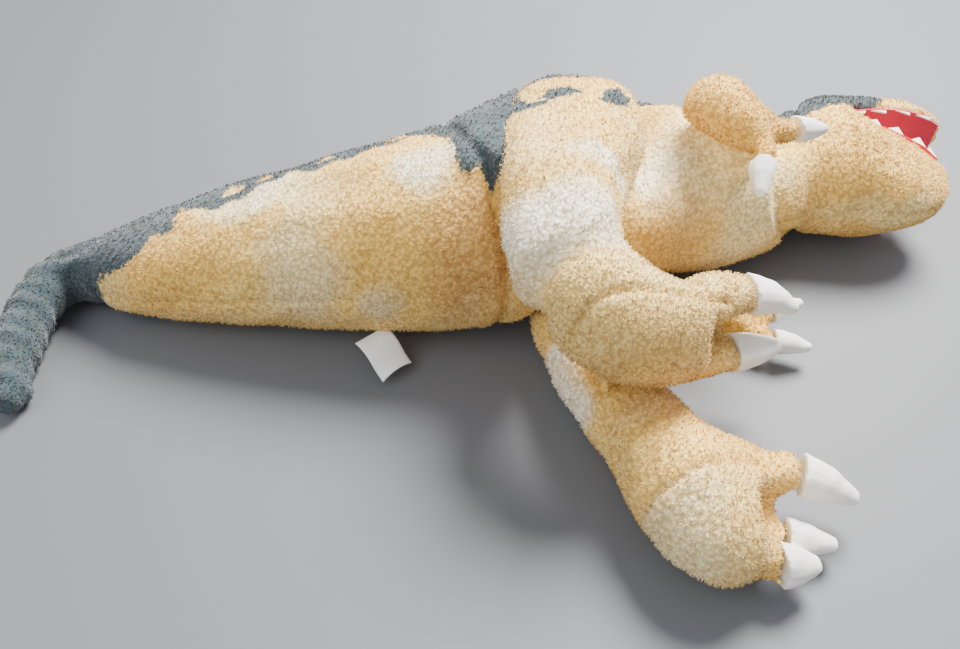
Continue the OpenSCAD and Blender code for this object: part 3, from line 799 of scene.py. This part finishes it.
# The body skin is puffed and lumped as one, then cut at its seams.
co, faces = subdivided(*forms["body"])
normals = vertex_normals(co, faces)
seams = []
for a, b in (("trunk_right_cover", "trunk_left_cover"), ("tail_right_cover", "tail_left_cover"),
             ("head_right_cover", "head_left_cover"), ("jaw_right_cover", "jaw_left_cover")):
    seams += chain(seam_points(a, b))
co = grooved(co, normals, seams)
# The sewn rings: a point on each, the way it faces, and how deep the seam is pulled in.
neck_ring = np.array([0.215, 0.073, 0.065])
neck_way = np.cross(np.array([0.022, 0.011, -0.047]), np.array([0.018, 0.089, 0.043]))
neck_way = neck_way / np.linalg.norm(neck_way)
for point, way, depth in ((tail_seam, heading_way(TAIL_HEADING), 0.0045), (neck_ring, neck_way, 0.0055),
                          (tip_seam, np.array([1.0, 0, 0]), 0.002)):
    d = (co - point) @ way
    local = np.linalg.norm(co - point, axis=1) < 0.16
    co = co - normals * (local * depth * np.exp(-((d / 0.0045) ** 2)))[:, None]
mm = co * 1000
co = co + normals * (0.0011 * waves(mm, 3))[:, None]
# Ring wrinkles round the limp tip of the tail.
tip_zone = np.clip((-333 - mm[:, 0]) / 12, 0, 1)
co = co + normals * (tip_zone * 0.0011 * np.sin(mm[:, 1] / 2.6 + np.sin(mm[:, 2] / 9)))[:, None]
normals = vertex_normals(co, faces)
mm = co * 1000
# No pile grows on the two lips' inner sides, which face each other across the mouth.
mouth = (mm[:, 0] > 274) & (
    ((normals[:, 1] < -0.55) & (mm[:, 1] > 156 + (mm[:, 0] - 274) * 0.38 - 6))
    | ((normals[:, 1] > 0.55) & (mm[:, 1] < 156 + (mm[:, 0] - 274) * 0.2))
)
tone = blended(co, TAN, BODY_BLOBS)
slate = slate_field(mm, BODY_SLATE, BODY_ISLANDS)


def on_jaw(p):
    return (p[:, 0] >= jaw_seam[0]) & (p[:, 1] <= jaw_seam[1] + PARTING_SLOPE * (p[:, 0] - jaw_seam[0]))


def past_tail_seam(p):
    return along(p, tail_seam, TAIL_HEADING) < 0


def past_neck_seam(p):
    return along(p, neck_seam, NECK_HEADING) >= 0


# Each piece: the body it rides or the two bodies at its seam with two points, its frame nodes, its share of
# the skin, its locks.
TAIL_BEND_WAY, NECK_BEND_WAY = np.array([0.927, 0.375, 0]), np.array([0.961, 0.276, 0])
body_parts = {
    "trunk_fleece": ("trunk", TRUNK, lambda p: ~past_tail_seam(p) & ~past_neck_seam(p), 9000),
    "tail_fleece": (("trunk", "tail", tail_seam, tail_seam - 0.05 * TAIL_BEND_WAY), TAIL,
                    lambda p: past_tail_seam(p) & (p[:, 0] > tip_seam[0]), 13000),
    "tail_tip_fleece": (("tail", "tail_tip", tip_seam, tip_seam + np.array([-0.03, 0, 0])), TIP,
                        lambda p: p[:, 0] <= tip_seam[0], 5000),
    "head_fleece": (("trunk", "head", neck_seam, neck_seam + 0.022 * NECK_BEND_WAY), HEAD,
                    lambda p: past_neck_seam(p) & ~on_jaw(p), 6000),
    "jaw_fleece": (("head", "jaw", jaw_seam, jaw_seam + np.array([0.03, 0, 0])), JAW, on_jaw, 7000),
}
for name, (body, nodes, test, count) in body_parts.items():
    used, part = cut(co, faces, normals, test)
    material, length = (short_slate, LOCK_SHORT) if name == "tail_tip_fleece" else (curly, LOCK_LONG)
    skin(name, body, co[used], part, normals[used], tone[used], slate[used], nodes,
         material, (int(count * PILE), length, LOCK_WIDE), bald=mouth[used])

# Outline of the left sole panel seen from above, and the seam lines of both feet, in mm.
SOLE = [(62, -186), (68, -181), (78, -176), (98, -168), (118, -162), (134, -158), (143, -162), (148, -176),
        (146, -200), (128, -230), (96, -232), (66, -206)]
FOOT_SEAMS = {
    "left_limb": [(64, -184, 46), (70, -180, 58), (80, -177, 68), (98, -169, 76), (118, -162, 74),
                  (134, -157, 66), (142, -160, 54)],
    "right_foot": [(24, -108, 120), (34, -103, 143), (52, -97, 149), (72, -93, 147), (100, -88, 138),
                   (128, -82, 122)],
}
SOLE_BLOBS = [
    ((88, -204, 40), (24, 30, 60), GREY_WHITE, 0.8),
    ((140, -180, 40), (16, 40, 60), OCHRE, 0.5),
]


def traced(points_mm, step=0.0015):
    """Close-set points along a line, in metres."""
    points, out = [np.array(p) / 1000 for p in points_mm], []
    for a, b in zip(points, points[1:]):
        out += [a + (b - a) * t for t in np.arange(0, 1, step / np.linalg.norm(b - a))]
    return out


# Each limb: its frame nodes, the colour under its print, the patches, the slate outlines, its locks.
limbs = {
    "right_leg": (THIGH_RIGHT, TAN, LEG_BLOBS, THIGH_SLATE, 7000),
    "right_foot": (FOOT_RIGHT, BEIGE, FOOT_BLOBS, [], 8000),
    "left_limb": (THIGH_LEFT, TAN, SHIN_BLOBS + FOOT_BLOBS, [], 12000),
    "right_arm": (ARM_RIGHT, OCHRE, ARM_BLOBS, [], 3500),
    "left_arm": (ARM_LEFT, OCHRE, ARM_BLOBS, [], 2000),
}
for number, (name, (nodes, base, blobs, outlines, count)) in enumerate(limbs.items()):
    co, faces = subdivided(*forms[name])
    normals = vertex_normals(co, faces)
    if name in FOOT_SEAMS:
        kd = tree_of(list(co))
        line = [np.array(kd.find(p)[0]) for p in traced(FOOT_SEAMS[name])]
        co = grooved(co, normals, line, 0.0032, 0.0026)
    co = co + normals * (0.0010 * waves(co * 1000, 20 + number))[:, None]
    normals = vertex_normals(co, faces)
    tone = blended(co, base, blobs)
    if name == "left_limb":
        panel = (np.clip(inside(co * 1000, SOLE) / 1.5 + 0.5, 0, 1) * (co[:, 2] > 0.02))[:, None]
        tone = tone * (1 - panel) + panel * blended(co, BEIGE, SOLE_BLOBS)
    slate = slate_field(co * 1000, outlines, []) if outlines else np.full(len(co), -12.0)
    pile = (int(count * PILE), 0.0021, LOCK_WIDE)
    if name != "left_limb":
        skin(name + "_fleece", name, co, faces, normals, tone, slate, nodes,
             sole_curly if "foot" in name else curly, pile)
        continue
    # The left shin runs smoothly into the foot, so the two are one skin, parted at the ankle.
    bend = heading_way(LEFT_SHIN_HEADING) * 0.024
    halves = (("left_leg_fleece", "left_leg", nodes, lambda p: along(p, left_ankle, LEFT_SHIN_HEADING) < 0),
              ("left_foot_fleece", ("left_leg", "left_foot", left_ankle, left_ankle + bend), FOOT_LEFT,
               lambda p: along(p, left_ankle, LEFT_SHIN_HEADING) >= 0))
    for piece, body, hidden, test in halves:
        used, part = cut(co, faces, normals, test)
        skin(piece, body, co[used], part, normals[used], tone[used], slate[used], hidden, curly,
             (pile[0] // 2, *pile[1:]))


# ---------------------------------------------------------------- claws, felt, eyes, label
def plush_material(name, colour, grain, bump_height):
    """Short smooth plush or felt: a matted colour with a fine fibre grain."""
    mat, tree, bsdf = shader(name, colour, 0.9)
    coords = node(tree, "ShaderNodeTexCoord").outputs["Object"]
    fibre = node(tree, "ShaderNodeTexNoise", Scale=grain, Detail=5.0, Roughness=0.7, Distortion=0.8)
    cloud = node(tree, "ShaderNodeTexNoise", Scale=60.0, Detail=2.0)
    for n in (fibre, cloud):
        link(tree, coords, n.inputs["Vector"])
    base = srgb(*colour)
    ramp = node(tree, "ShaderNodeMixRGB", blend_type="MIX")
    ramp.inputs["Color1"].default_value = (*[c * 0.80 for c in base], 1)
    ramp.inputs["Color2"].default_value = (*[min(1, c * 1.10) for c in base], 1)
    add = node(tree, "ShaderNodeMath", operation="MULTIPLY_ADD")
    link(tree, fibre.outputs["Fac"], add.inputs[0])
    add.inputs[1].default_value = 0.7
    link(tree, cloud.outputs["Fac"], add.inputs[2])
    half = node(tree, "ShaderNodeMath", operation="SUBTRACT", use_clamp=True)
    link(tree, add.outputs[0], half.inputs[0])
    half.inputs[1].default_value = 0.35
    link(tree, half.outputs[0], ramp.inputs["Fac"])
    link(tree, ramp.outputs["Color"], bsdf.inputs["Base Color"])
    bumped(tree, bsdf, fibre.outputs["Fac"], 0.6, bump_height)
    bsdf.inputs["Sheen Weight"].default_value = 0.2
    bsdf.inputs["Specular IOR Level"].default_value = 0.15
    return mat


claw_plush = plush_material("claw_plush", (250, 246, 236), 700, 0.0007)
red_felt = plush_material("red_felt", (222, 32, 60), 900, 0.0006)
pink_felt = plush_material("pink_felt", (243, 178, 205), 900, 0.0006)
white_felt = plush_material("white_felt", (250, 247, 240), 900, 0.0006)


for body in ("right_arm", "left_arm", "right_foot", "left_foot"):
    claws = body.replace("arm", "hand") + "_claws"
    pieces = []
    for co, faces in shells(*remeshed(*node_arrays(claws), 0.0016, 4, one=False)):
        normals = vertex_normals(co, faces)
        # The seam that runs along the claw's side, then its small lumps.
        axis = np.linalg.svd(co - co.mean(0), full_matrices=False)[2][0]
        flat = np.cross(axis, np.array([0.25, 0.1, 1.0]))
        flat = np.cross(axis, flat / np.linalg.norm(flat))
        flat /= np.linalg.norm(flat)
        off = (co - co.mean(0)) @ flat
        co = co - normals * (0.0007 * np.exp(-((off / 0.0011) ** 2)))[:, None]
        co = co + normals * (0.0004 * waves(co * 2600, 9))[:, None]
        pieces.append(subdivided(co, faces))
    co, faces = joined(*pieces)
    co[:, 2] = np.maximum(co[:, 2], FLOOR_GAP)
    obj = new_object(claws + "_plush", co, faces)
    obj.data.shade_smooth()
    obj.data.materials.append(claw_plush)
    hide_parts(claws)
    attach(obj, body)


def dressed(node_name, material):
    """A frame node whose shape is right, given its finish."""
    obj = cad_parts[node_name]
    obj.data.materials.clear()
    obj.data.materials.append(material)


for name, material in (("palate", red_felt), ("mouth_floor", red_felt), ("tongue", pink_felt),
                       ("upper_teeth", white_felt)):
    dressed(name, material)


def linked_groups(bm):
    """The vertices of each separate solid."""
    seen = set()
    for start in list(bm.verts):
        if start in seen:
            continue
        group, queue = [], [start]
        seen.add(start)
        while queue:
            v = queue.pop()
            group.append(v)
            for e in v.link_edges:
                other = e.other_vert(v)
                if other not in seen:
                    seen.add(other)
                    queue.append(other)
        yield group


def lower_teeth(wider=1.12, taller=1.55):
    """Soft felt points, stretched from the frame's by these factors at the base and at the tip."""
    teeth = new_object("lower_teeth_felt", *node_arrays("lower_teeth"))
    bm = bmesh.new()
    bm.from_mesh(teeth.data)
    bmesh.ops.remove_doubles(bm, verts=bm.verts, dist=1e-5)
    for tooth in linked_groups(bm):
        tooth.sort(key=lambda v: v.co.y)
        base, tip = tooth[:-2], tooth[-2:]
        foot = sum((v.co for v in base), Vector()) / len(base)
        for corners, stretch in ((base, wider), (tip, taller)):
            for v in corners:
                v.co = foot + (v.co - foot) * stretch
    bm.to_mesh(teeth.data)
    bm.free()
    teeth.data.materials.append(white_felt)
    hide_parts("lower_teeth")
    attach(teeth, "jaw")


lower_teeth()

gloss, tree, bsdf = shader("eye_plastic", (16, 11, 9), 0.08)
coords = node(tree, "ShaderNodeTexCoord").outputs["Object"]
swirl = node(tree, "ShaderNodeTexNoise", Scale=180.0, Detail=2.0)
link(tree, coords, swirl.inputs["Vector"])
tint = node(tree, "ShaderNodeMixRGB", blend_type="MIX")
tint.inputs["Color1"].default_value = (*srgb(10, 8, 8), 1)
tint.inputs["Color2"].default_value = (*srgb(44, 26, 14), 1)
link(tree, swirl.outputs["Fac"], tint.inputs["Fac"])
link(tree, tint.outputs["Color"], bsdf.inputs["Base Color"])
bsdf.inputs["Coat Weight"].default_value = 0.8
for name in ("right_eye", "left_eye"):
    dressed(name, gloss)

# The care label: a plain white satin ribbon, curled, without lettering.
satin, tree, bsdf = shader("satin_ribbon", (250, 249, 246), 0.45)
coords = node(tree, "ShaderNodeTexCoord").outputs["Object"]
weave = node(tree, "ShaderNodeTexWave", Scale=520.0, Distortion=0.6, Detail=1.0)
link(tree, coords, weave.inputs["Vector"])
bumped(tree, bsdf, weave.outputs["Fac"], 0.25, 0.0003)
bsdf.inputs["Sheen Weight"].default_value = 0.15

LABEL_W, LABEL_L = 0.028, 0.038


def care_label(half_thick=0.00025, rows=25, columns=15):
    """A strip that rises a little from its root and then curls down, bowed across its width."""
    root = at(-84, -33, 23)
    run = heading_way(-50)
    side = np.array([-run[1], run[0], 0])
    pitch = np.radians(np.interp(np.linspace(0, 1, rows), [0, 0.25, 0.6, 1], [18, -8, -46, -20]))
    line = np.cumsum(np.stack([np.cos(pitch), np.sin(pitch)], 1) * (LABEL_L / (rows - 1)), 0)
    line = line - line[0]
    verts = []
    for lift in (half_thick, -half_thick):
        for i in range(rows):
            t = i / (rows - 1)
            for j in range(columns):
                s = 2 * j / (columns - 1) - 1
                bow = 0.0035 * t * (1 - s * s) + 0.0012 * t * s
                p = root + run * line[i, 0] + side * s * LABEL_W / 2 * (1 - 0.04 * t)
                verts.append(p + np.array([0, 0, line[i, 1] + bow + lift]))
    verts = np.array(verts)
    verts[:, 2] = np.maximum(verts[:, 2], 0.001)
    n = rows * columns
    faces = []
    for i in range(rows - 1):
        for j in range(columns - 1):
            a = i * columns + j
            faces.append([a, a + 1, a + columns + 1, a + columns])
            faces.append([n + a, n + a + columns, n + a + columns + 1, n + a + 1])
    edge = list(range(columns)) + [i * columns + columns - 1 for i in range(1, rows)]
    edge += [(rows - 1) * columns + j for j in range(columns - 2, -1, -1)]
    edge += [i * columns for i in range(rows - 2, 0, -1)]
    for a, b in zip(edge, edge[1:] + edge[:1]):
        faces.append([b, a, n + a, n + b])
    label = new_object("care_label_ribbon", verts, faces)
    label.data.shade_smooth()
    label.data.materials.append(satin)
    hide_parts("care_label")
    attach(label, "tail")


care_label()
